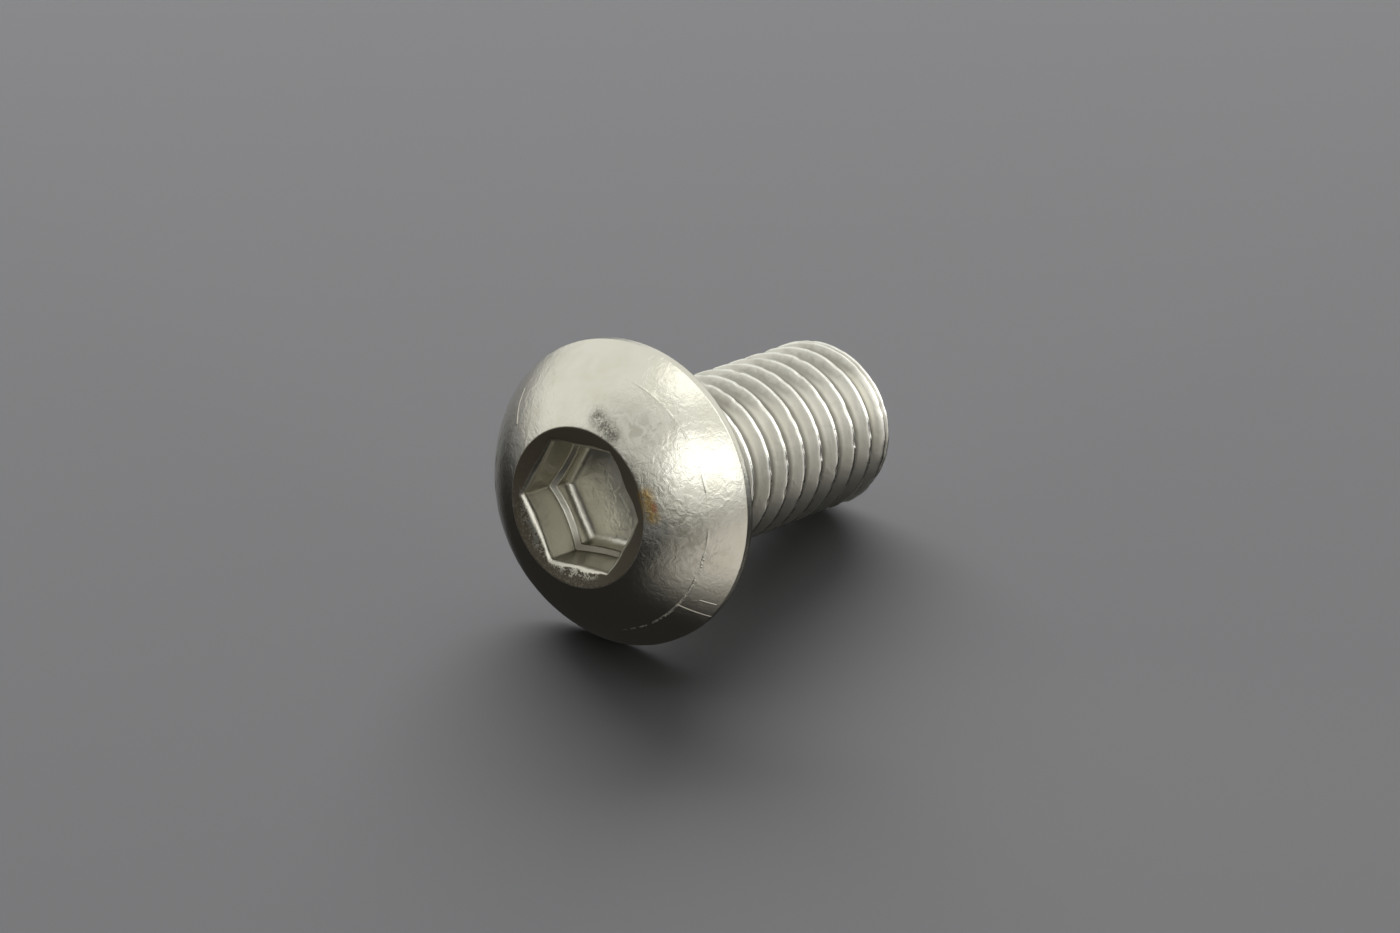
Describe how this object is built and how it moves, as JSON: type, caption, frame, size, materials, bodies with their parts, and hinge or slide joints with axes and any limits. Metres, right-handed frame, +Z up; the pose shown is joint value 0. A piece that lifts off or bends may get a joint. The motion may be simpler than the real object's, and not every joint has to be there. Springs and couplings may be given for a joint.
{
  "type": "button head bolt",
  "caption": "Short metric button head bolt in satin stainless steel, with a domed head, a hexagon socket and a coarse right-hand thread, lying on its side.",
  "frame": {"origin": "middle of the bolt's box, on the surface that it lies on", "axes": "+Z up; the bolt's axis lies in the XZ plane with its tip towards +X and 11.1 degrees down, as it rests on the edge of its head and the edge of its tip"},
  "size_m": [0.0154, 0.0104, 0.0103],
  "materials": {
    "stainless_steel": "satin, cold-forged and tumbled"
  },
  "bodies": {
    "root": {"bolt": "stainless_steel"}
  },
  "joints": []
}
